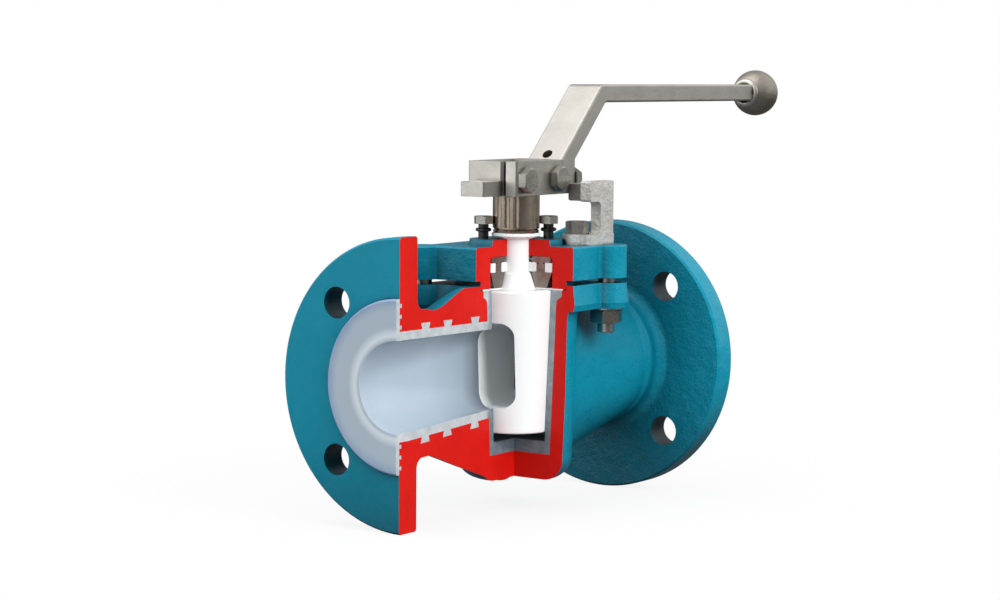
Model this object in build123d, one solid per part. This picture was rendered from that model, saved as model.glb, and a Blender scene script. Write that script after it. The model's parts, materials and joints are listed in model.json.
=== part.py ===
from build123d import *
import math
import os

# Lined plug valve, DN50 PN16, with one quarter of the casings cut away.
# X is the flow direction, Z the stem axis. The valve is modelled about the stem
# and moved at the end, so that the origin is the centre of the outlet flange face.

# ---- flanges (DN50 PN16) ----
FACE_X = 112.0          # stem axis to the metal face of a flange
FLANGE_D = 165.0
FLANGE_T = 16.0
BOLT_CIRCLE = 125.0
BOLT_HOLE_D = 18.0
FLANGE_FILLET = 6.0
FLARE_T = 3.0           # lining in front of each flange face
FLARE_R = 48.8
FLARE_KEYS = [33.0, 39.0, 45.0]

# ---- neck and pocket of the body ----
# oval stations along X: (x, half width, lowest z, highest z)
NECK = [
    (98.0, 40.2, -40.2, 40.2),
    (86.0, 40.5, -40.8, 40.6),
    (74.0, 37.0, -44.5, 41.4),
    (62.0, 32.5, -49.0, 46.5),
    (50.0, 29.0, -53.3, 51.0),
    (26.0, 26.0, -61.7, 53.0),
    (0.0, 26.0, -62.5, 53.0),
]
NECK_END_R = 41.5       # round stretch of the neck next to the flange
POCKET = [(0, -64), (33.6, -64), (33.9, -48), (34.4, -38), (35.4, -13), (35.8, 9), (36.2, 30), (38, 40), (0, 40)]
POCKET_CORNER = 13.0
BODY_TOP = 50.5
PLATE_MID = 39.0        # widest level of the top plate's drafted edge
PLATE_LOW = 35.5
PLATE_DRAFT = 7.0       # degrees
RECESS_R = 35.5
RECESS_Z = 47.6

# ---- outline shared by body top and cover ----
SIDE = 40.0
EAR_AT = 39.5
EAR_R = 10.5
EAR_FILLET = 2.5
STUD_AT = 38.5

# ---- lining ----
BORE_R = 25.8
LINING_T = 4.8
CHANNEL_START_X = 104.0
SLOT_X = 25.0           # the channel is a slot from here to the plug
SLOT_HALF_W = 13.0
SLOT_LOW = -21.7
SLOT_HIGH = 25.0
SLOT_CORNER = 11.5
KEY_AT = [88.0, 67.0, 40.5]
KEY_W = 8.4
KEY_DEPTH = 3.5
KEY_UNDERCUT = 1.1
MOUTH_R = 5.0
POCKET_OUTER = [(0, -48.9), (25, -48.9), (28.5, 38), (28.8, 40.8), (29.8, 42.4), (32.3, 43.8), (32.3, RECESS_Z),
                (0, RECESS_Z)]
POCKET_FLOOR = -41.4

# ---- plug ----
PLUG_LOW = -36.0
PLUG_HIGH = 47.3
PLUG_R_LOW = 21.3
PLUG_R_HIGH = 24.7
PLUG_GAP = 0.3
PORT_HALF_W = 13.0
PORT_LOW = -21.0
PORT_HIGH = 28.5
PORT_CORNER = 8.0
STEM_R = 9.0
STEM_TOP = 76.5
CONE = [(13.6, 48.4), (10.5, 56.0), (9.0, 57.5)]
PLUG_LINING_T = 3.0
CORE_STEM_R = 6.0
CORE_TOP = 98.0
COLLAR_TOP = 79.8
COLLAR_R = 14.3

# ---- cover ----
SHEET_T = 0.8
COVER_LOW = 53.4
COVER_TOP = 72.7
BOSS_TOP = 76.3
BOSS_HALF = 24.0
BOSS_CORNER = 15.0
SPIGOT_R = 35.4
DIAPHRAGM_R = 33.0
CAVITY_R = 25.7
CAVITY_TOP = 66.7
PACKING = (57.6, 63.0)  # lowest and highest z of the packing rings
FIT = 0.05              # radial running clearance of stem and screws

# ---- adjusting screws (M6) ----
SCREW_AT = 13.65
SCREW_R = 3.0
SCREW_AF = 10.0
SCREW_HEAD = (85.0, 89.6)
LOCK_RING = (80.6, 82.6)
LOCK_RING_R = 4.6

# ---- cover studs (M10) ----
STUD_R = 5.0
STUD_LOW = 20.6
STUD_HIGH = 69.0
NUT_AF = 17.0
NUT = (26.7, 34.5)
WASHER_R = 10.0

# ---- stop bracket ----
FOOT_T = 6.0
BRACKET_FRONT = -38.0
BRACKET_T = 7.0
WEB_X = (32.4, 46.0)
LIP_X = (21.0, 46.0)
LIP_Z = (98.0, 110.0)
BRACKET_BOLT = (27.0, -25.0)
FOOT_R = 8.8

# ---- M8 bolts of bracket, clamp and lever ----
M8_R = 4.0
BRACKET_BOLT_AF = 12.0
M8_AF = 13.0
M8_HEAD = 5.3

# ---- coupling ----
SLEEVE_R = 13.7
SLEEVE_LOW = 80.0
SLEEVE_TOP = 102.2
FLUTES_AT = [168.8, 191.8, 214.8]    # degrees, repeated every third of a turn
FLUTE_R = 2.0
FLUTE_DEPTH = 1.1
SQUARE = 17.6
SQUARE_TOP = 121.0

# ---- lever ----
HUB_X = (-25.0, 29.0)
HUB_Y = (-7.4, 17.3)
HUB_TOP = 122.0
HUB_END = 22.0          # the end wall of the hub runs from here to the bar
JAW_Y = (-17.4, -9.8)
JAW_PAD = 8.5           # half width of the pad that presses on the square
CLAMP_X = [-17.2, 15.5]
CLAMP_Z = 111.3
TAB = ((-43.0, -25.0), (-7.3, 9.6), (102.2, 110.7))
BAR_T = 10.8
BAR_FOOT_T = 15.4       # thicker where it is bolted to the hub
BAR_W = 24.2
BAR_W_END = 12.5
BAR_KNEE_Z = 121.5
BAR_TOP_Z = 166.0
BAR_BEND_X = 73.2
BAR_END_X = 276.0
BAR_HOLE_D = 6.4
BAR_HOLE_X = 32.3
LEVER_BOLT_Y = 7.0
LEVER_BOLT_Z = 110.0
FINGER = ((29.0, 39.8), (-30.7, -11.0), (SLEEVE_TOP, 108.0))
FINGER_TIP = ((29.0, 39.8), (-30.7, -17.3), (98.0, 104.0))
KNOB_R = 15.2
KNOB_X = 285.0
KNOB_Z = 160.4


# ---------- helpers ----------
def block(x, y, z):
    """Box between two limits on each axis."""
    size = [high - low for low, high in (x, y, z)]
    centre = [(high + low) / 2 for low, high in (x, y, z)]
    return Pos(*centre) * Box(*size)


def turned(points, corner=None, radius=0.0):
    """Solid turned about Z from (radius, height) points, one corner rounded if named."""
    outline = make_face(Polyline(*[(r, 0, z) for r, z in points], close=True))
    if corner is not None:
        spot = Vector(corner[0], 0, corner[1])
        vertex = min(outline.vertices(), key=lambda v: (Vector(v) - spot).length)
        outline = fillet(vertex, radius)
    return revolve(outline, Axis.Z)


def post(r, low, high, x=0.0, y=0.0):
    """Upright cylinder between two heights."""
    return Pos(x, y, (low + high) / 2) * Cylinder(r, high - low)


def hexagon(flats, low, high, both_ends=False):
    """Hexagonal prism with the corners turned off at its top, or at both ends."""
    height = high - low
    bevel = flats * 0.08
    prism = Pos(0, 0, low) * extrude(RegularPolygon(flats / 2, 6, major_radius=False), height)
    outer = flats / 2 + bevel
    foot = bevel * 0.6 if both_ends else 0.0
    edge = [(0, low), (outer - foot * 1.7, low), (outer, low + foot), (outer, high - bevel * 0.6)]
    if not both_ends:
        edge[1:3] = [(outer, low)]
    edge += [(outer - bevel, high), (0, high)]
    return prism & turned(edge)


def hex_bolt(flats, head, shank_r, shank_length):
    """Hex bolt with the underside of its head at z = 0 and its shank along -Z."""
    tip = shank_r * 0.15
    shank = turned([(0, -shank_length), (shank_r - tip, -shank_length), (shank_r, tip - shank_length),
                    (shank_r, 0.5), (0, 0.5)])
    return hexagon(flats, 0, head) + shank


def oval(x, half_w, low, high):
    """Ellipse across the flow at x."""
    plane = Plane(origin=(x, 0, (low + high) / 2), x_dir=(0, 1, 0), z_dir=(1, 0, 0))
    return plane * Ellipse(half_w, (high - low) / 2)


def section(x, half_w, low, high, corner, grow=0.0):
    """Rounded rectangle across the flow at x, grown outwards all round."""
    plane = Plane(origin=(x, 0, (low + high) / 2), x_dir=(0, 1, 0), z_dir=(1, 0, 0))
    return plane * RectangleRounded(2 * (half_w + grow), high - low + 2 * grow, corner + grow)


def channel_section(x, grow=0.0):
    """Section of the flow channel at x: round at the flange, a tall slot at the plug."""
    t = min(1.0, max(0.0, (x - SLOT_X) / (CHANNEL_START_X - SLOT_X)))
    round_end = (BORE_R, -BORE_R, BORE_R, BORE_R - 0.1)
    slot_end = (SLOT_HALF_W, SLOT_LOW, SLOT_HIGH, SLOT_CORNER)
    values = [a + (b - a) * t for a, b in zip(slot_end, round_end)]
    return section(x, *values, grow)


def channel(grow, inner_x, outer_x):
    """Channel on the +X side from inner_x to outer_x."""
    half = loft([channel_section(SLOT_X, grow), channel_section(CHANNEL_START_X, grow)], ruled=True)
    half += extrude(channel_section(SLOT_X, grow), -(SLOT_X - inner_x), dir=(1, 0, 0))
    return half + extrude(channel_section(CHANNEL_START_X, grow), outer_x - CHANNEL_START_X, dir=(1, 0, 0))


def both_sides(half):
    return half + mirror(half, about=Plane.YZ)


def ring_about_x(points):
    """Solid turned about X from (x, radius) points."""
    return revolve(make_face(Polyline(*[(x, 0, r) for x, r in points], close=True)), Axis.X)


def plate_outline():
    """Square with a round ear at each corner."""
    outline = Rectangle(2 * SIDE, 2 * SIDE)
    for x, y in corners(EAR_AT):
        outline += Pos(x, y) * Circle(EAR_R)
    return fillet(outline.vertices(), EAR_FILLET)


def corners(at):
    return [(at, at), (at, -at), (-at, at), (-at, -at)]


def kept_corners(at):
    """The corners outside the quarter that is cut away."""
    return [(at, at), (at, -at), (-at, at)]


def cut_quarter(solid):
    return solid - block((-200, 0), (-200, 0), (-200, 200))


# ---------- lining ----------
def dovetail_key(x):
    """Ring round the channel at x that is wider at its rim than at its root."""
    rim = LINING_T + KEY_DEPTH
    ends = (x - KEY_W / 2, x + KEY_W / 2)
    ring = loft([channel_section(ends[0], rim), channel_section(ends[1], rim)], ruled=True)
    for end, inward in zip(ends, (1, -1)):
        root_x = end + inward * KEY_UNDERCUT
        ring -= loft([channel_section(end, rim), channel_section(root_x, LINING_T)], ruled=True)
    return ring


def flare():
    """Lining in front of the +X flange with the small keys that hold it on the metal."""
    disc = ring_about_x([(FACE_X, 0), (FACE_X + FLARE_T - 0.8, 0), (FACE_X + FLARE_T, 0),
                         (FACE_X + FLARE_T, FLARE_R - 1), (FACE_X + FLARE_T - 1, FLARE_R), (FACE_X, FLARE_R)])
    for r in FLARE_KEYS:
        disc += ring_about_x([(FACE_X, r - 0.8), (FACE_X, r + 0.8), (FACE_X - 1.8, r + 1.2), (FACE_X - 1.8, r - 1.2)])
    return disc


def lining_outside():
    """Everything that the lining fills, its keys included, before its bore is opened."""
    half = channel(LINING_T, 12.0, FACE_X) + flare()
    for x in KEY_AT:
        half += dovetail_key(x)
    return both_sides(half) + turned(POCKET_OUTER)


def plug_radius(z):
    return PLUG_R_LOW + (PLUG_R_HIGH - PLUG_R_LOW) * (z - PLUG_LOW) / (46.0 - PLUG_LOW)


def rounded_mouth(end):
    """Solid about X that rounds the edge of the bore where it meets the flange face."""
    start_x, start_r = end - MOUTH_R, BORE_R - 0.05
    lean = MOUTH_R * math.sqrt(0.5)
    arc = ThreePointArc((start_x, 0, start_r), (start_x + lean, 0, start_r + MOUTH_R - lean),
                        (end, 0, start_r + MOUTH_R))
    rest = Polyline((end, 0, start_r + MOUTH_R), (end + 1, 0, start_r + MOUTH_R), (end + 1, 0, 0),
                    (start_x, 0, 0), (start_x, 0, start_r))
    return revolve(make_face(arc + rest), Axis.X)


def make_body_liner(outside):
    end = FACE_X + FLARE_T
    half = channel(0.0, 0.0, end + 1) + rounded_mouth(end)
    pocket = turned([(0, POCKET_FLOOR), (plug_radius(POCKET_FLOOR) + PLUG_GAP, POCKET_FLOOR),
                     (plug_radius(RECESS_Z) + PLUG_GAP, RECESS_Z + 1), (0, RECESS_Z + 1)])
    return cut_quarter(outside - both_sides(half) - pocket)


# ---------- casings ----------
def make_flange():
    """The +X flange with the round end of its neck, rounded rims and four bolt holes."""
    back, rim, r = FACE_X - FLANGE_T, FLANGE_D / 2, NECK_END_R
    f, soft = FLANGE_FILLET, 1.2
    lean = f * math.sqrt(0.5)
    arc = ThreePointArc((back - f, 0, r), (back - f + lean, 0, r + f - lean), (back, 0, r + f))
    rest = Polyline((back, 0, r + f), (back, 0, rim - soft), (back + soft, 0, rim), (FACE_X - soft, 0, rim),
                    (FACE_X, 0, rim - soft), (FACE_X, 0, 0), (back - 20, 0, 0), (back - 20, 0, r - 4.5),
                    (back - 10, 0, r), (back - f, 0, r))
    disc = revolve(make_face(arc + rest), Axis.X)
    at = BOLT_CIRCLE / 2 * math.sqrt(0.5)
    for y, z in corners(at):
        disc -= Pos(FACE_X - FLANGE_T / 2, y, z) * Rot(0, 90, 0) * Cylinder(BOLT_HOLE_D / 2, FLANGE_T + 2)
    return disc


def make_valve_body(outside):
    neck = loft([oval(*station) for station in NECK])
    neck -= block((-1, 120), (-60, 60), (BODY_TOP, 80))
    casting = both_sides(neck + make_flange())
    casting += turned(POCKET, corner=POCKET[1], radius=POCKET_CORNER)
    outline = plate_outline()
    upper = extrude(outline, PLATE_MID - BODY_TOP, taper=-PLATE_DRAFT)
    wide = upper.faces().sort_by(Axis.Z)[0]
    lower = extrude(wide, PLATE_MID - PLATE_LOW, dir=(0, 0, -1), taper=20)
    casting += Pos(0, 0, BODY_TOP) * (upper + lower)
    casting -= post(RECESS_R, RECESS_Z, BODY_TOP + 1)
    for x, y in corners(STUD_AT):
        casting -= post(STUD_R + 0.5, 15.0, BODY_TOP + 1, x, y)
    return cut_quarter(casting - outside)


def make_cover():
    plate = Pos(0, 0, COVER_LOW) * extrude(plate_outline(), COVER_TOP - COVER_LOW)
    plate = chamfer(plate.faces().sort_by(Axis.Z)[-1].edges(), 0.9)
    boss = Pos(0, 0, COVER_TOP) * extrude(RectangleRounded(2 * BOSS_HALF, 2 * BOSS_HALF, BOSS_CORNER),
                                          BOSS_TOP - COVER_TOP, taper=8)
    cover = plate + boss + post(SPIGOT_R, RECESS_Z + SHEET_T, COVER_LOW)
    round_r = 3.0
    cavity = turned([(0, RECESS_Z), (CAVITY_R, RECESS_Z), (CAVITY_R, CAVITY_TOP), (0, CAVITY_TOP)],
                    corner=(CAVITY_R, CAVITY_TOP), radius=round_r)
    cover -= cavity + post(STEM_R + FIT, RECESS_Z, BOSS_TOP + 1)
    for x, y in corners(SCREW_AT):
        cover -= post(SCREW_R + FIT, RECESS_Z, BOSS_TOP + 1, x, y)
    for x, y in corners(STUD_AT):
        cover -= post(STUD_R, COVER_LOW - 1, STUD_HIGH, x, y)
    cover -= bracket_bolt_hole()
    return cut_quarter(cover)


def bracket_bolt_hole():
    x, y = BRACKET_BOLT
    return post(M8_R, COVER_TOP - 12.0, COVER_TOP + 1, x, y)


# ---------- pieces under the cover ----------
def make_diaphragm():
    high = RECESS_Z + SHEET_T
    return cut_quarter(turned([(14.0, RECESS_Z), (DIAPHRAGM_R, RECESS_Z), (DIAPHRAGM_R, high), (14.0, high)]))


def make_thrust_collar():
    """Wedge on the diaphragm with a column between the two packing rings."""
    low = RECESS_Z + SHEET_T
    shelf, top = PACKING
    collar = turned([(14.4, low), (21.6, low), (25.2, shelf - 0.7), (24.6, shelf), (20.5, shelf),
                     (20.1, shelf + 0.8), (20.1, top - 1.0), (19.0, top - 0.6), (19.0, top), (16.0, top),
                     (16.0, top - 0.6), (14.9, top - 1.0), (14.9, shelf + 0.8), (14.5, shelf),
                     (11.6, shelf), (11.3, shelf - 0.7)])
    return cut_quarter(collar)


def packing_ring(inner, outer):
    low, high = PACKING
    soft = 0.4
    return cut_quarter(turned([(inner, low), (outer - soft, low), (outer, low + soft), (outer, high - soft),
                               (outer - soft, high), (inner, high)]))


def make_thrust_ring():
    low, high = PACKING[1], CAVITY_TOP - 0.2
    soft = 1.4
    return cut_quarter(turned([(10.5, low + soft), (10.5 + soft, low), (24.8 - soft, low), (24.8, low + soft),
                               (24.8, high - soft), (24.8 - soft, high), (10.5 + soft, high),
                               (10.5, high - soft)]))


def make_adjusting_screw(x, y):
    head = SCREW_HEAD[1] - SCREW_HEAD[0]
    reach = SCREW_HEAD[0] - 66.55
    flat_to_stem = math.degrees(math.atan2(y, x)) + 30
    return Pos(x, y, SCREW_HEAD[0]) * Rot(0, 0, flat_to_stem) * hex_bolt(SCREW_AF, head, SCREW_R, reach)


def make_lock_ring(x, y):
    low, high = LOCK_RING
    return Pos(x, y, 0) * turned([(SCREW_R, low), (LOCK_RING_R - 0.6, low), (LOCK_RING_R, low + 0.5),
                                  (LOCK_RING_R, high - 0.5), (LOCK_RING_R - 0.6, high), (SCREW_R, high)])


# ---------- fasteners of cover and bracket ----------
def cover_stud(x, y):
    return Pos(x, y, 0) * turned([(0, STUD_LOW), (STUD_R - 0.8, STUD_LOW), (STUD_R, STUD_LOW + 0.8),
                                  (STUD_R, STUD_HIGH), (0, STUD_HIGH)])


def cover_nut(x, y):
    return Pos(x, y, 0) * Rot(0, 0, 20) * (hexagon(NUT_AF, *NUT, both_ends=True) - post(STUD_R, 0, 60))


def cover_washer(x, y):
    return Pos(x, y, 0) * (post(WASHER_R, NUT[1], PLATE_LOW) - post(STUD_R, 0, 60))


def make_stop_bracket():
    x, y = BRACKET_BOLT
    back = BRACKET_FRONT + BRACKET_T
    foot_top = COVER_TOP + FOOT_T
    foot = post(FOOT_R, COVER_TOP, foot_top, x, y)
    foot += block((x, WEB_X[1] + 2), (BRACKET_FRONT, y + FOOT_R), (COVER_TOP, foot_top))
    foot += block((x - FOOT_R + 2, x + 1), (BRACKET_FRONT, y), (COVER_TOP, foot_top))
    foot = fillet(foot.edges().filter_by(Axis.Z), 1.8)
    web = block(WEB_X, (BRACKET_FRONT, back), (foot_top - 1, LIP_Z[1]))
    lip = block(LIP_X, (BRACKET_FRONT, back), LIP_Z)
    upright = web + lip
    inner = [e for e in upright.edges().filter_by(Axis.Y)
             if abs(e.center().X - WEB_X[0]) < 0.1 and abs(e.center().Z - LIP_Z[0]) < 0.1]
    upright = fillet(inner, 3.0)
    outer = [e for e in upright.edges().filter_by(Axis.Y) if e.center().Z > LIP_Z[0] - 0.1]
    upright = fillet([e for e in outer if abs(e.center().X - WEB_X[0]) > 4], 1.2)
    bracket = foot + upright
    hollow = [e for e in bracket.edges().filter_by(Axis.Y)
              if abs(e.center().X - WEB_X[0]) < 0.1 and abs(e.center().Z - foot_top) < 0.1]
    bracket = fillet(hollow, 2.5)
    return bracket - post(M8_R, COVER_TOP - 1, foot_top + 1, x, y)


def make_bracket_bolt():
    x, y = BRACKET_BOLT
    return Pos(x, y, COVER_TOP + FOOT_T) * Rot(0, 0, 4.8) * hex_bolt(BRACKET_BOLT_AF, 7.6, M8_R, FOOT_T + 11.5)


# ---------- plug ----------
def plug_outside():
    return turned([(0, PLUG_LOW), (PLUG_R_LOW - 0.6, PLUG_LOW), (PLUG_R_LOW, PLUG_LOW + 0.6),
                   (PLUG_R_HIGH, 46.0), (PLUG_R_HIGH - 0.8, PLUG_HIGH), (13.9, PLUG_HIGH), *CONE,
                   (STEM_R, STEM_TOP), (0, STEM_TOP)])


def port(grow):
    """Tall slot straight through the plug."""
    length = 60.0
    slot = section(-length / 2, PORT_HALF_W, PORT_LOW, PORT_HIGH, PORT_CORNER, grow)
    return extrude(slot, length, dir=(1, 0, 0))


def make_plug_core():
    t = PLUG_LINING_T
    return turned([(0, PLUG_LOW + t), (PLUG_R_LOW - t, PLUG_LOW + t), (PLUG_R_HIGH - t, PLUG_HIGH - t),
                   (9.0, PLUG_HIGH - t), (CORE_STEM_R, 52.0), (CORE_STEM_R, CORE_TOP - 1),
                   (CORE_STEM_R - 1, CORE_TOP), (0, CORE_TOP)]) - port(t)


def make_stem_collar():
    return turned([(CORE_STEM_R, STEM_TOP), (10.6, STEM_TOP), (13.2, STEM_TOP + 1.0), (COLLAR_R, 78.2),
                   (COLLAR_R, COLLAR_TOP - 0.6), (COLLAR_R - 0.6, COLLAR_TOP), (CORE_STEM_R, COLLAR_TOP)])


def make_stem_coupling():
    low = SLEEVE_LOW
    sleeve = turned([(0, low - 0.2), (SLEEVE_R - 0.6, low - 0.2), (SLEEVE_R - 0.2, low + 1.2),
                     (SLEEVE_R - 1.0, low + 2.0), (SLEEVE_R, low + 2.8), (SLEEVE_R, SLEEVE_TOP - 0.6),
                     (SLEEVE_R - 0.6, SLEEVE_TOP), (0, SLEEVE_TOP)])
    centre = SLEEVE_R + FLUTE_R - FLUTE_DEPTH
    for degrees in [at + turn for at in FLUTES_AT for turn in (0, 120, 240)]:
        angle = math.radians(degrees)
        sleeve -= post(FLUTE_R, low + 3.2, SLEEVE_TOP + 1, centre * math.cos(angle), centre * math.sin(angle))
    square = extrude(Pos(0, 0, SLEEVE_TOP - 0.5) * RectangleRounded(SQUARE, SQUARE, 1.0),
                     SQUARE_TOP - SLEEVE_TOP + 0.5)
    bores = post(CORE_STEM_R, low - 1, CORE_TOP) + post(5.0, CORE_TOP, 113.0) + post(7.0, 113.0, 125.0)
    return sleeve + square - bores


def make_coupling_screw():
    head_low = 113.0
    screw = post(5.0, CORE_TOP, head_low) + post(6.9, head_low, head_low + 7.0)
    socket = Pos(0, 0, head_low + 2.5) * extrude(RegularPolygon(3.5, 6, major_radius=False), 6)
    return screw - socket


# ---------- lever ----------
def make_lever_hub():
    half_sq = SQUARE / 2
    z = (SLEEVE_TOP, HUB_TOP)
    hub = block(HUB_X, HUB_Y, z) + block((HUB_END, HUB_X[1]), (JAW_Y[0], HUB_Y[1]), z)
    hub = chamfer(hub.edges().filter_by(Axis.Z).sort_by(Axis.X)[:2], 1.5)
    tab = chamfer(block(*TAB).edges().filter_by(Axis.Z).sort_by(Axis.X)[:2], 1.0)
    hub += tab
    hub -= block((-half_sq, half_sq), (HUB_Y[0] - 1, half_sq), (90, 130))
    for x in CLAMP_X:
        hub -= Pos(x, 3.0, CLAMP_Z) * Rot(90, 0, 0) * Cylinder(M8_R, 24)
    for y in (-LEVER_BOLT_Y, LEVER_BOLT_Y):
        hub -= Pos(HUB_X[1] - 3.4, y, LEVER_BOLT_Z) * Rot(0, 90, 0) * Cylinder(M8_R, 6.8)
    return hub


def make_clamp_jaw():
    jaw = block((HUB_X[0], HUB_END - 0.3), JAW_Y, (SLEEVE_TOP, HUB_TOP))
    jaw = chamfer(jaw.edges().filter_by(Axis.Z).sort_by(Axis.Y)[:2].sort_by(Axis.X)[:1], 1.0)
    jaw += block((-JAW_PAD, JAW_PAD), (JAW_Y[1] - 1, -SQUARE / 2), (SLEEVE_TOP, SQUARE_TOP))
    for x in CLAMP_X:
        jaw -= Pos(x, sum(JAW_Y) / 2, CLAMP_Z) * Rot(90, 0, 0) * Cylinder(M8_R, 12)
    return jaw


def clamp_bolt(x):
    """Bolt along Y with its head on the front of the jaw."""
    return Pos(x, JAW_Y[0], CLAMP_Z) * Rot(90, 0, 0) * Rot(0, 0, 30) * hex_bolt(M8_AF, M8_HEAD, M8_R, 30)


def lever_bolt(y):
    """Bolt along X with its head on the far face of the bar."""
    face = HUB_X[1] + BAR_FOOT_T
    return Pos(face, y, LEVER_BOLT_Z) * Rot(0, 90, 0) * hex_bolt(M8_AF, M8_HEAD, M8_R, BAR_FOOT_T + 6.6)


def make_lever_bar():
    rise = math.atan2(BAR_TOP_Z - BAR_KNEE_Z, BAR_BEND_X - HUB_X[1])
    # the underside is the upper line moved by the bar's thickness, mitred at both bends
    knee_drop = BAR_T * math.tan((math.pi / 2 - rise) / 2)
    bend_shift = BAR_T * math.tan(rise / 2)
    foot_x = HUB_X[1] + BAR_FOOT_T
    foot_z = BAR_KNEE_Z - knee_drop + (BAR_FOOT_T - BAR_T) * math.tan(rise)
    side = Polyline((HUB_X[1], 0, SLEEVE_TOP), (HUB_X[1], 0, BAR_KNEE_Z), (BAR_BEND_X, 0, BAR_TOP_Z),
                    (BAR_END_X, 0, BAR_TOP_Z), (BAR_END_X, 0, BAR_TOP_Z - BAR_T),
                    (BAR_BEND_X + bend_shift, 0, BAR_TOP_Z - BAR_T),
                    (foot_x, 0, foot_z), (foot_x, 0, SLEEVE_TOP), close=True)
    face = make_face(side)
    bends = [v for v in face.vertices() if abs(v.X - BAR_BEND_X) < 0.1 or abs(v.X - BAR_BEND_X - bend_shift) < 0.1]
    face = fillet(bends, 5.0)
    bar = extrude(face, BAR_W / 2, dir=(0, 1, 0), both=True)
    half, tip = BAR_W / 2, BAR_W_END / 2
    plan = Polyline((0, -half), (BAR_BEND_X + 4, -half), (BAR_END_X, -tip), (BAR_END_X, tip),
                    (BAR_BEND_X + 4, half), (0, half), close=True)
    bar &= Pos(0, 0, 90) * extrude(make_face(plan), 90)
    long_edges = [e for e in bar.edges() if abs(e.center().Y) > 1 and e.center().Z > SLEEVE_TOP + 1]
    bar = fillet([e for e in long_edges if e.length > 8], 1.2)
    finger = block(*FINGER) + block(*FINGER_TIP)
    finger = fillet(finger.edges().filter_by(Axis.X).sort_by(Axis.Z)[:2], 1.4)
    bar += finger
    hole_z = BAR_KNEE_Z + (BAR_HOLE_X - HUB_X[1]) * math.tan(rise)
    bar -= Pos(BAR_HOLE_X, 0, hole_z) * Rot(0, 135, 0) * Cylinder(BAR_HOLE_D / 2, 40)
    for y in (-LEVER_BOLT_Y, LEVER_BOLT_Y):
        bar -= Pos(HUB_X[1] + BAR_FOOT_T / 2, y, LEVER_BOLT_Z) * Rot(0, 90, 0) * Cylinder(M8_R, BAR_FOOT_T + 4)
    bar += Pos(BAR_END_X - 4.6, 0, KNOB_Z) * Rot(0, 90, 0) * Torus(7.4, 2.2)
    return bar - Pos(KNOB_X, 0, KNOB_Z) * Sphere(KNOB_R)


def make_knob():
    return Pos(KNOB_X, 0, KNOB_Z) * Sphere(KNOB_R)


# ---------- the assembly ----------
def group(solids):
    return Compound(children=list(solids))


def build():
    outside = lining_outside()
    core = make_plug_core()
    nodes = {
        "valve_body": make_valve_body(outside),
        "body_liner": make_body_liner(outside),
        "diaphragm": make_diaphragm(),
        "cover": make_cover(),
        "thrust_collar": make_thrust_collar(),
        "packing_rings": group([packing_ring(STEM_R + FIT, 14.5), packing_ring(20.5, CAVITY_R - 0.3)]),
        "thrust_ring": make_thrust_ring(),
        "cover_studs": group(cover_stud(x, y) for x, y in kept_corners(STUD_AT)),
        "cover_washers": group(cover_washer(x, y) for x, y in kept_corners(STUD_AT)),
        "cover_nuts": group(cover_nut(x, y) for x, y in kept_corners(STUD_AT)),
        "stop_bracket": make_stop_bracket(),
        "bracket_bolt": make_bracket_bolt(),
        "plug_core": core,
        "plug_lining": plug_outside() - port(0.0) - core,
        "stem_collar": make_stem_collar(),
        "stem_coupling": make_stem_coupling(),
        "coupling_screw": make_coupling_screw(),
        "lever_hub": make_lever_hub(),
        "clamp_jaw": make_clamp_jaw(),
        "clamp_bolts": group(clamp_bolt(x) for x in CLAMP_X),
        "lever_bar": make_lever_bar(),
        "lever_bolts": group(lever_bolt(y) for y in (-LEVER_BOLT_Y, LEVER_BOLT_Y)),
        "knob": make_knob(),
    }
    for i, (x, y) in enumerate(kept_corners(SCREW_AT), start=1):
        nodes[f"adjusting_screw_{i}"] = make_adjusting_screw(x, y)
        nodes[f"lock_ring_{i}"] = make_lock_ring(x, y)
    return nodes


os.makedirs("parts", exist_ok=True)
for name, shape in build().items():
    export_step(Pos(-FACE_X, 0, 0) * shape, f"parts/{name}.step")
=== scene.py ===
"""Looks of a lined plug valve, shown as a cutaway: paint, polymer, steel, floor, light and camera."""
import bpy
import json
import math
from mathutils import Matrix, Vector


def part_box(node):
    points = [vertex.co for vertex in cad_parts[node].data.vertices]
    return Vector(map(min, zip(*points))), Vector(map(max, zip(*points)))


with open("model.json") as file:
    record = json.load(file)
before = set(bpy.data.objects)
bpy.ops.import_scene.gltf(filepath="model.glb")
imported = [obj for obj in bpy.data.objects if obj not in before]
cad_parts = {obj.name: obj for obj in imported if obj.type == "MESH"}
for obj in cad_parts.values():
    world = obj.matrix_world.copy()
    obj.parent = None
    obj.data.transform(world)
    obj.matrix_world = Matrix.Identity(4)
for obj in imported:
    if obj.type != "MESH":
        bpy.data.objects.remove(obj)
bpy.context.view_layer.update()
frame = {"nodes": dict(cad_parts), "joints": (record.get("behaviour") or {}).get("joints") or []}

# ---- places taken from the frame ----
STEM_X = frame["joints"][0]["pos_m"][0]
FLOOR_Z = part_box("valve_body")[0][2]
SCREW_SHANK_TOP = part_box("lock_ring_1")[1][2]
BOLT_AT = 0.0442            # bolt holes from the bore axis, along Y and along Z
BOLT_HOLE_R = 0.0092        # a little over the holes' radius
FLANGE_BACK = 0.09          # from the stem, inboard of both flanges
CUT_TOLERANCE = 2e-5
ALONG_NORMAL = 0.99         # how square to an axis a sawn face's normal is
SHANK_MARGIN = 0.001

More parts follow.
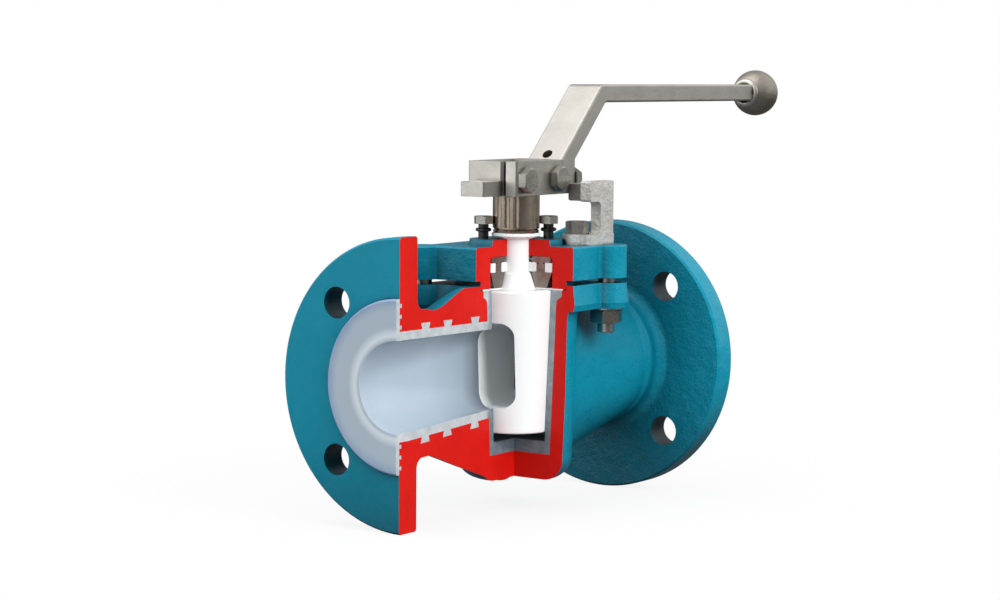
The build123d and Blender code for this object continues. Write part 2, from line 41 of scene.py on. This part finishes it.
# ---- stage ----
FLOOR_HALF = 12.0
AIM = Vector((STEM_X, 0.0, 0.03))                   # what the lights point at
ROOM_GLOW = [(0.0, 0.04), (0.44, 0.08), (0.54, 0.16), (0.75, 0.28), (1.0, 0.5)]     # from below to above
WALL_AZIMUTH, WALL_STRENGTH, WALL_EDGE = 148.0, 1.65, (0.30, 0.80)      # degrees from +X towards +Y
FILL_AZIMUTH, FILL_STRENGTH, FILL_EDGE = -38.0, 0.62, (0.35, 0.80)
GLOW_RISE = 0.1                                     # how far both glows lean upwards
FRONT_PLACE, FRONT_SIZE, FRONT_POWER = (-0.42, -1.95, 0.8), (0.9, 1.7), 40.0
TOP_PLACE, TOP_SIZE, TOP_POWER = (-0.3, 0.2, 1.9), (1.2, 1.2), 8.0

# ---- camera: where a visitor stands to look into the cut quarter ----
CAMERA_TURN = 34.79         # degrees from +X towards +Y that the camera looks
CAMERA_PITCH = 5.329        # degrees downwards
CAMERA_ROLL = 0.435
CAMERA_PLACE = Vector((STEM_X - 1.1672, -0.7999, 0.1721))
CAMERA_LENS = 87.4
SENSOR = 36.0


# ---------- node tree helpers ----------
def new_material(name):
    """Material with an empty tree but for its output and one principled shader."""
    material = bpy.data.materials.new(name)
    material.use_nodes = True
    return material, material.node_tree, material.node_tree.nodes["Principled BSDF"]


def link(tree, source, target):
    tree.links.new(source, target)


def grey(value):
    return (value, value, value)


def object_position(tree):
    """Position on the piece in metres; it stays with the piece when the piece moves."""
    return tree.nodes.new("ShaderNodeTexCoord").outputs["Object"]


def maths(tree, operation, first, second=0.0):
    """Maths node over one or two values, each a socket or a number."""
    node = tree.nodes.new("ShaderNodeMath")
    node.operation = operation
    for socket, value in zip(node.inputs, (first, second)):
        if isinstance(value, (int, float)):
            socket.default_value = value
        else:
            link(tree, value, socket)
    return node.outputs[0]


def noise(tree, scale, detail=4.0, roughness=0.5, stretch=None):
    """Noise over the object's own position, scale per metre."""
    position = object_position(tree)
    if stretch is not None:
        mapping = tree.nodes.new("ShaderNodeMapping")
        mapping.inputs["Scale"].default_value = stretch
        link(tree, position, mapping.inputs["Vector"])
        position = mapping.outputs["Vector"]
    node = tree.nodes.new("ShaderNodeTexNoise")
    node.inputs["Scale"].default_value = scale
    node.inputs["Detail"].default_value = detail
    node.inputs["Roughness"].default_value = roughness
    link(tree, position, node.inputs["Vector"])
    return node.outputs["Fac"]


def ramp(tree, source, stops):
    """Colour ramp through (position, colour) stops."""
    node = tree.nodes.new("ShaderNodeValToRGB")
    elements = node.color_ramp.elements
    while len(elements) < len(stops):
        elements.new(0.5)
    for element, (position, colour) in zip(elements, stops):
        element.position = position
        element.color = (*colour, 1.0)
    link(tree, source, node.inputs["Fac"])
    return node.outputs["Color"]


def mix_colour(tree, blend, factor, first, second):
    """Mix of two colours, the factor and either colour a socket or a value."""
    node = tree.nodes.new("ShaderNodeMix")
    node.data_type = "RGBA"
    node.blend_type = blend
    for socket, value in ((node.inputs[0], factor), (node.inputs[6], first), (node.inputs[7], second)):
        if isinstance(value, float):
            socket.default_value = value
        elif isinstance(value, tuple):
            socket.default_value = (*value, 1.0)
        else:
            link(tree, value, socket)
    return node.outputs[2]


def painted_crevice_shade(tree, colour, dark, reach, full=0.25, none=0.8):
    """Darkens a colour in corners and seams: painted shade, from ambient occlusion."""
    node = tree.nodes.new("ShaderNodeAmbientOcclusion")
    node.samples = 6
    node.inputs["Distance"].default_value = reach
    mask = ramp(tree, node.outputs["AO"], [(full, grey(1.0)), (none, grey(0.0))])
    return mix_colour(tree, "MIX", mask, colour, dark)


def bump(tree, shader, height, strength, distance, below=None):
    """Bump on the shader's normal; below is another bump to build on."""
    node = tree.nodes.new("ShaderNodeBump")
    node.inputs["Strength"].default_value = strength
    node.inputs["Distance"].default_value = distance
    link(tree, height, node.inputs["Height"])
    if below is not None:
        link(tree, below, node.inputs["Normal"])
    link(tree, node.outputs["Normal"], shader.inputs["Normal"])
    return node.outputs["Normal"]


def axis_value(tree, axis):
    """One coordinate of the object position."""
    node = tree.nodes.new("ShaderNodeSeparateXYZ")
    link(tree, object_position(tree), node.inputs[0])
    return node.outputs["XYZ".index(axis)]


def from_stem(tree):
    """Distance from the stem along the bore, in metres."""
    return maths(tree, "ABSOLUTE", maths(tree, "SUBTRACT", axis_value(tree, "X"), STEM_X))


def from_bore(tree):
    """Distance from the bore's axis, in metres."""
    offsets = [axis_value(tree, axis) for axis in "YZ"]
    squares = [maths(tree, "MULTIPLY", offset, offset) for offset in offsets]
    return maths(tree, "SQRT", maths(tree, "ADD", *squares))


def zone(tree, distance, scale, stops):
    """Ramp over a distance; the scale brings its metres into the ramp's range of 0 to 1."""
    return ramp(tree, maths(tree, "MULTIPLY", distance, scale), stops)


def uneven_roughness(tree, shader, pattern, low, high):
    """Roughness that wanders with a pattern; low and high are (pattern value, roughness)."""
    stops = [(value, grey(roughness)) for value, roughness in (low, high)]
    link(tree, ramp(tree, pattern, stops), shader.inputs["Roughness"])


# ---------- materials ----------
def cast_paint(name, light, dark, roughness):
    """Gloss paint over a rough sand casting."""
    material, tree, shader = new_material(name)
    tone = ramp(tree, noise(tree, 55.0, 6.0, 0.6), [(0.3, dark), (0.7, light)])
    specks = ramp(tree, noise(tree, 520.0, 5.0, 0.75), [(0.28, grey(0.78)), (0.36, grey(1.0))])
    tone = mix_colour(tree, "MULTIPLY", 1.0, tone, specks)
    # painted shade: a broad darkening in recesses and behind parts out to 70 mm, then a deeper one in the
    # narrow seams
    tone = painted_crevice_shade(tree, tone, (0.001, 0.075, 0.115), 0.07, 0.40, 0.96)
    link(tree, painted_crevice_shade(tree, tone, (0.0005, 0.02, 0.035), 0.004), shader.inputs["Base Color"])
    uneven_roughness(tree, shader, noise(tree, 240.0, 4.0), (0.3, roughness - 0.08), (0.75, roughness + 0.14))
    shader.inputs["Specular IOR Level"].default_value = 0.22
    cast = zone(tree, from_stem(tree), 5.0, [(0.545, grey(1.0)), (0.555, grey(0.12))])
    lumps = bump(tree, shader, noise(tree, 85.0, 3.0, 0.5), 0.5, 0.0014)
    peel = bump(tree, shader, noise(tree, 620.0, 4.0, 0.6), 0.42, 0.0004, lumps)
    for normal in (lumps, peel):
        link(tree, cast, normal.node.inputs["Strength"])
    shader.inputs["Coat Weight"].default_value = 0.15
    shader.inputs["Coat Roughness"].default_value = 0.14
    return material


def bolt_hole_shade():
    """Dark teal on the walls of the bolt holes: painted shade."""
    material, tree, shader = new_material("bolt_hole_shade")
    # painted shade: very dark teal standing in for the shade inside the holes
    tone = ramp(tree, noise(tree, 200.0, 4.0), [(0.3, (0.0005, 0.018, 0.026)), (0.7, (0.002, 0.06, 0.085))])
    link(tree, tone, shader.inputs["Base Color"])
    shader.inputs["Roughness"].default_value = 0.5
    bump(tree, shader, noise(tree, 900.0, 3.0), 0.3, 0.0002)
    return material


def cut_paint():
    """Flat red paint brushed on the sawn metal."""
    material, tree, shader = new_material("cut_red_paint")
    tone = ramp(tree, noise(tree, 38.0, 5.0, 0.65),
                [(0.3, (0.60, 0.007, 0.004)), (0.7, (0.70, 0.011, 0.006))])
    link(tree, tone, shader.inputs["Base Color"])
    uneven_roughness(tree, shader, noise(tree, 500.0, 3.0), (0.3, 0.42), (0.8, 0.6))
    shader.inputs["Specular IOR Level"].default_value = 0.18
    strokes = noise(tree, 300.0, 4.0, 0.6, stretch=(0.25, 0.25, 1.6))
    bump(tree, shader, strokes, 0.3, 0.0003)
    return material


def polymer(name, light, dark, roughness, scatter, mottling=30.0):
    """Moulded fluoropolymer, smooth and faintly translucent."""
    material, tree, shader = new_material(name)
    tone = ramp(tree, noise(tree, mottling, 3.0), [(0.3, dark), (0.7, light)])
    link(tree, tone, shader.inputs["Base Color"])
    uneven_roughness(tree, shader, noise(tree, 300.0, 3.0), (0.3, roughness - 0.04), (0.8, roughness + 0.06))
    shader.inputs["Specular IOR Level"].default_value = 0.35
    bump(tree, shader, noise(tree, 90.0, 2.0, 0.5), 0.05, 0.0004)
    shader.inputs["Subsurface Weight"].default_value = scatter
    shader.inputs["Subsurface Radius"].default_value = (0.8, 0.9, 1.0)
    shader.inputs["Subsurface Scale"].default_value = 0.004
    return material


def liner_polymer():
    """Liner of the body: pale blue-grey, with painted shade deep inside towards the plug, a painted highlight
    round the bore's mouth and a lilac outer rim.
    """
    material = polymer("liner_polymer", (0.45, 0.54, 0.63), (0.42, 0.51, 0.60), 0.16, 0.1)
    tree = material.node_tree
    shader = tree.nodes["Principled BSDF"]
    tone = shader.inputs["Base Color"].links[0].from_socket
    radius = from_bore(tree)
    aside = from_stem(tree)
    wobble = maths(tree, "MULTIPLY", maths(tree, "SUBTRACT", noise(tree, 60.0, 3.0), 0.5), 0.004)
    rim = zone(tree, maths(tree, "ADD", radius, wobble), 10.0,
               [(0.425, grey(0.0)), (0.462, grey(0.55)), (0.486, grey(0.9))])
    # painted shade: the liner darkens towards the stem, deep in the channel
    painted_deep_shade = zone(tree, aside, 10.0, [(0.22, grey(0.42)), (0.34, grey(0.8)), (0.62, grey(1.0))])
    tone = mix_colour(tree, "MULTIPLY", 1.0, tone, painted_deep_shade)
    # painted highlight: a bright ring on the rounded mouth of the bore, near the flange face only
    painted_mouth_highlight = zone(tree, radius, 10.0,
               [(0.262, grey(0.0)), (0.285, grey(0.75)), (0.30, grey(0.6)), (0.335, grey(0.0))])
    outermost = zone(tree, aside, 5.0, [(0.535, grey(0.0)), (0.555, grey(1.0))])
    painted_mouth_highlight = mix_colour(tree, "MULTIPLY", 1.0, painted_mouth_highlight, outermost)
    tone = mix_colour(tree, "MIX", painted_mouth_highlight, tone, (0.78, 0.85, 0.90))
    link(tree, mix_colour(tree, "MIX", rim, tone, (0.26, 0.36, 0.55)), shader.inputs["Base Color"])
    return material


def liner_cut():
    """Sawn face of the liner: pale along the neck, with painted shade making it dark grey-blue under and
    beside the plug.
    """
    material, tree, shader = new_material("liner_cut")
    grain = noise(tree, 160.0, 5.0, 0.6)
    pale = ramp(tree, grain, [(0.3, (0.40, 0.45, 0.48)), (0.7, (0.62, 0.66, 0.68))])
    # painted shade: dark grey-blue for the sawn face under and beside the plug, darkest low down
    shaded_tone = ramp(tree, grain, [(0.3, (0.085, 0.12, 0.145)), (0.7, (0.20, 0.26, 0.30))])
    near_stem = zone(tree, from_stem(tree), 10.0, [(0.262, grey(1.0)), (0.29, grey(0.0))])
    low = ramp(tree, maths(tree, "ADD", maths(tree, "MULTIPLY", axis_value(tree, "Z"), 10.0), 0.5),
               [(0.16, grey(1.0)), (0.45, grey(0.62))])
    shade_amount = mix_colour(tree, "MULTIPLY", 1.0, near_stem, low)
    link(tree, mix_colour(tree, "MIX", shade_amount, pale, shaded_tone), shader.inputs["Base Color"])
    shader.inputs["Roughness"].default_value = 0.55
    bump(tree, shader, noise(tree, 420.0, 4.0, 0.6), 0.35, 0.0003)
    return material


def steel(name, light, dark, roughness, grain=(1.0, 1.0, 1.0), grain_scale=900.0, grain_depth=0.2,
          lumps=0.0, shade_colour=(0.05, 0.045, 0.04), reach=0.0025, metallic=1.0):
    """Bare steel with a fine grain that can be drawn out along one axis, with painted shade darkening its
    seams and corners.
    """
    material, tree, shader = new_material(name)
    shader.inputs["Metallic"].default_value = metallic
    tone = ramp(tree, noise(tree, 70.0, 6.0, 0.65), [(0.3, dark), (0.72, light)])
    # painted shade: the colour darkens towards the shade colour in seams and corners within the reach
    link(tree, painted_crevice_shade(tree, tone, shade_colour, reach), shader.inputs["Base Color"])
    fine = noise(tree, grain_scale, 4.0, 0.6, stretch=grain)
    uneven_roughness(tree, shader, fine, (0.3, roughness - 0.07), (0.75, roughness + 0.12))
    below = None
    if lumps:
        below = bump(tree, shader, noise(tree, 330.0, 5.0, 0.65), lumps, 0.001)
    bump(tree, shader, fine, grain_depth, 0.0002, below)
    return material


# ---------- which node wears what ----------
def dress(node, material):
    """Gives a node one material all over."""
    mesh = frame["nodes"][node].data
    mesh.materials.clear()
    mesh.materials.append(material)


def paint_faces(node, material, chosen):
    """Gives the faces that the test picks a material of their own."""
    mesh = frame["nodes"][node].data
    mesh.materials.append(material)
    index = len(mesh.materials) - 1
    for face in mesh.polygons:
        if chosen(face.center, face.normal):
            face.material_index = index


def on_cut(middle, normal):
    """True for a face on one of the two cutting planes."""
    across = abs(middle.y) < CUT_TOLERANCE and normal.y < -ALONG_NORMAL and middle.x < STEM_X
    along = abs(middle.x - STEM_X) < CUT_TOLERANCE and normal.x < -ALONG_NORMAL and middle.y < 0
    return across or along


def in_bolt_hole(middle, normal):
    """True on the wall of a flange's bolt hole."""
    return (math.hypot(abs(middle.y) - BOLT_AT, abs(middle.z) - BOLT_AT) < BOLT_HOLE_R
            and abs(middle.x - STEM_X) > FLANGE_BACK and abs(normal.x) < 0.5)


def on_shank(middle, normal):
    """True below the lock ring of an adjusting screw."""
    return middle.z < SCREW_SHANK_TOP + SHANK_MARGIN


def dress_all():
    """Makes every material and puts it on the nodes that wear it."""
    teal = cast_paint("teal_paint", (0.003, 0.265, 0.385), (0.002, 0.245, 0.36), 0.36)
    red = cut_paint()
    liner = liner_polymer()
    white = polymer("white_polymer", (0.94, 0.965, 0.965), (0.915, 0.95, 0.95), 0.35, 0.1)
    lever = steel("lever_steel", (0.70, 0.675, 0.63), (0.60, 0.575, 0.53), 0.42, lumps=0.12, reach=0.006)
    worn = steel("knob_steel", (0.50, 0.46, 0.40), (0.36, 0.33, 0.28), 0.46, lumps=0.35)
    bright = steel("polished_steel", (0.66, 0.57, 0.46), (0.50, 0.42, 0.33), 0.24, grain=(1.0, 1.0, 0.04),
                   grain_scale=260.0, grain_depth=0.02, shade_colour=(0.10, 0.08, 0.06), reach=0.0015)
    plain = steel("fastener_steel", (0.62, 0.6, 0.56), (0.42, 0.40, 0.36), 0.3)
    dark = steel("inner_steel", (0.42, 0.38, 0.34), (0.20, 0.17, 0.15), 0.4, lumps=0.3)
    black = steel("blackened_steel", (0.10, 0.10, 0.10), (0.035, 0.035, 0.035), 0.4)
    rough = steel("bracket_casting", (0.88, 0.87, 0.83), (0.60, 0.59, 0.55), 0.42, lumps=1.0, metallic=0.6)
    screws = [f"adjusting_screw_{i}" for i in (1, 2, 3)]
    wears = {
        teal: ["valve_body", "cover"], liner: ["body_liner"],
        white: ["plug_lining", "stem_collar", "diaphragm", "packing_rings"],
        lever: ["lever_hub", "clamp_jaw", "lever_bar"], worn: ["knob"], bright: ["stem_coupling"],
        dark: ["thrust_ring", "thrust_collar", "plug_core", "coupling_screw"], rough: ["stop_bracket"],
        plain: ["cover_studs", "cover_washers", "cover_nuts", "bracket_bolt", "clamp_bolts", "lever_bolts",
                *screws],
        black: [f"lock_ring_{i}" for i in (1, 2, 3)]}
    for material, nodes in wears.items():
        for node in nodes:
            dress(node, material)
    for node in ("valve_body", "cover"):
        paint_faces(node, red, on_cut)
    # the walls of the flange bolt holes get painted shade
    paint_faces("valve_body", bolt_hole_shade(), in_bolt_hole)
    paint_faces("body_liner", liner_cut(), on_cut)
    for node in screws:
        paint_faces(node, black, on_shank)


# ---------- stage ----------
def make_floor():
    """Pale floor that keeps a soft shadow under the valve and runs out into white."""
    mesh = bpy.data.meshes.new("floor")
    corners = [(x * FLOOR_HALF, y * FLOOR_HALF, 0) for x, y in ((-1, -1), (1, -1), (1, 1), (-1, 1))]
    mesh.from_pydata(corners, [], [(0, 1, 2, 3)])
    floor = bpy.data.objects.new("floor", mesh)
    floor.location = (STEM_X, 0, FLOOR_Z)
    bpy.context.scene.collection.objects.link(floor)
    material, tree, shader = new_material("floor")
    tone = ramp(tree, noise(tree, 8.0), [(0.3, grey(0.78)), (0.7, grey(0.82))])
    link(tree, tone, shader.inputs["Base Color"])
    shader.inputs["Roughness"].default_value = 0.9
    glow = tree.nodes.new("ShaderNodeEmission")
    seen = tree.nodes.new("ShaderNodeLightPath").outputs["Is Camera Ray"]
    link(tree, maths(tree, "ADD", maths(tree, "MULTIPLY", seen, 0.9), 0.1), glow.inputs["Strength"])
    length = tree.nodes.new("ShaderNodeVectorMath")
    length.operation = "LENGTH"
    link(tree, object_position(tree), length.inputs[0])
    blend = ramp(tree, length.outputs["Value"], [(0.0, grey(0.82)), (0.34, grey(1.0))])
    mix = tree.nodes.new("ShaderNodeMixShader")
    link(tree, blend, mix.inputs[0])
    link(tree, shader.outputs[0], mix.inputs[1])
    link(tree, glow.outputs[0], mix.inputs[2])
    link(tree, mix.outputs[0], tree.nodes["Material Output"].inputs["Surface"])
    mesh.materials.append(material)


def area_light(name, place, size, power):
    """Soft white light that points at the valve."""
    data = bpy.data.lights.new(name, "AREA")
    data.shape = "RECTANGLE"
    data.size, data.size_y = size
    data.energy = power
    lamp = bpy.data.objects.new(name, data)
    lamp.location = place
    lamp.rotation_euler = (AIM - Vector(place)).to_track_quat("-Z", "Y").to_euler()
    bpy.context.scene.collection.objects.link(lamp)
    return lamp


def patch_of_light(tree, direction, azimuth, strength, edge):
    """Broad glow on the room's wall round one azimuth; edge holds the cosines where it starts and is full."""
    node = tree.nodes.new("ShaderNodeVectorMath")
    node.operation = "DOT_PRODUCT"
    link(tree, direction, node.inputs[0])
    turn = math.radians(azimuth)
    node.inputs[1].default_value = (math.cos(turn), math.sin(turn), GLOW_RISE)
    stops = [(edge[0], grey(0.0)), (edge[1], grey(1.0))]
    return maths(tree, "MULTIPLY", ramp(tree, node.outputs["Value"], stops), strength)


def make_light():
    """White room for the eye; for the valve a dim one with a white wall, a fill and two soft lights."""
    world = bpy.data.worlds.new("studio")
    world.use_nodes = True
    tree = world.node_tree
    background = tree.nodes["Background"]
    direction = tree.nodes.new("ShaderNodeTexCoord").outputs["Generated"]
    split = tree.nodes.new("ShaderNodeSeparateXYZ")
    link(tree, direction, split.inputs[0])
    height = maths(tree, "ADD", maths(tree, "MULTIPLY", split.outputs["Z"], 0.5), 0.5)
    room = ramp(tree, height, [(at, grey(glow)) for at, glow in ROOM_GLOW])
    wall = patch_of_light(tree, direction, WALL_AZIMUTH, WALL_STRENGTH, WALL_EDGE)
    fill = patch_of_light(tree, direction, FILL_AZIMUTH, FILL_STRENGTH, FILL_EDGE)
    total = maths(tree, "ADD", maths(tree, "ADD", room, wall), fill)
    seen = tree.nodes.new("ShaderNodeLightPath").outputs["Is Camera Ray"]
    link(tree, maths(tree, "MAXIMUM", total, seen), background.inputs["Strength"])
    background.inputs["Color"].default_value = (1.0, 1.0, 1.0, 1.0)
    bpy.context.scene.world = world
    front = area_light("front", FRONT_PLACE, FRONT_SIZE, FRONT_POWER)
    front.visible_glossy = False        # else flat steel faces mirror it as blank white
    area_light("top", TOP_PLACE, TOP_SIZE, TOP_POWER)


def make_camera():
    """Camera at the viewing angle that shows both sawn faces."""
    turn, pitch, roll = (math.radians(v) for v in (CAMERA_TURN, CAMERA_PITCH, CAMERA_ROLL))
    ahead = Vector((math.cos(turn) * math.cos(pitch), math.sin(turn) * math.cos(pitch), -math.sin(pitch)))
    right = Vector((math.sin(turn), -math.cos(turn), 0.0))
    up = right.cross(ahead)
    right, up = (math.cos(roll) * right + math.sin(roll) * up, math.cos(roll) * up - math.sin(roll) * right)
    data = bpy.data.cameras.new("camera")
    data.lens = CAMERA_LENS
    data.sensor_width = SENSOR
    camera = bpy.data.objects.new("camera", data)
    facing = Matrix((right, up, -ahead)).transposed().to_4x4()
    camera.matrix_world = Matrix.Translation(CAMERA_PLACE) @ facing
    bpy.context.scene.collection.objects.link(camera)
    bpy.context.scene.camera = camera


make_camera()
dress_all()
make_floor()
make_light()
bpy.context.scene.view_settings.view_transform = "Standard"
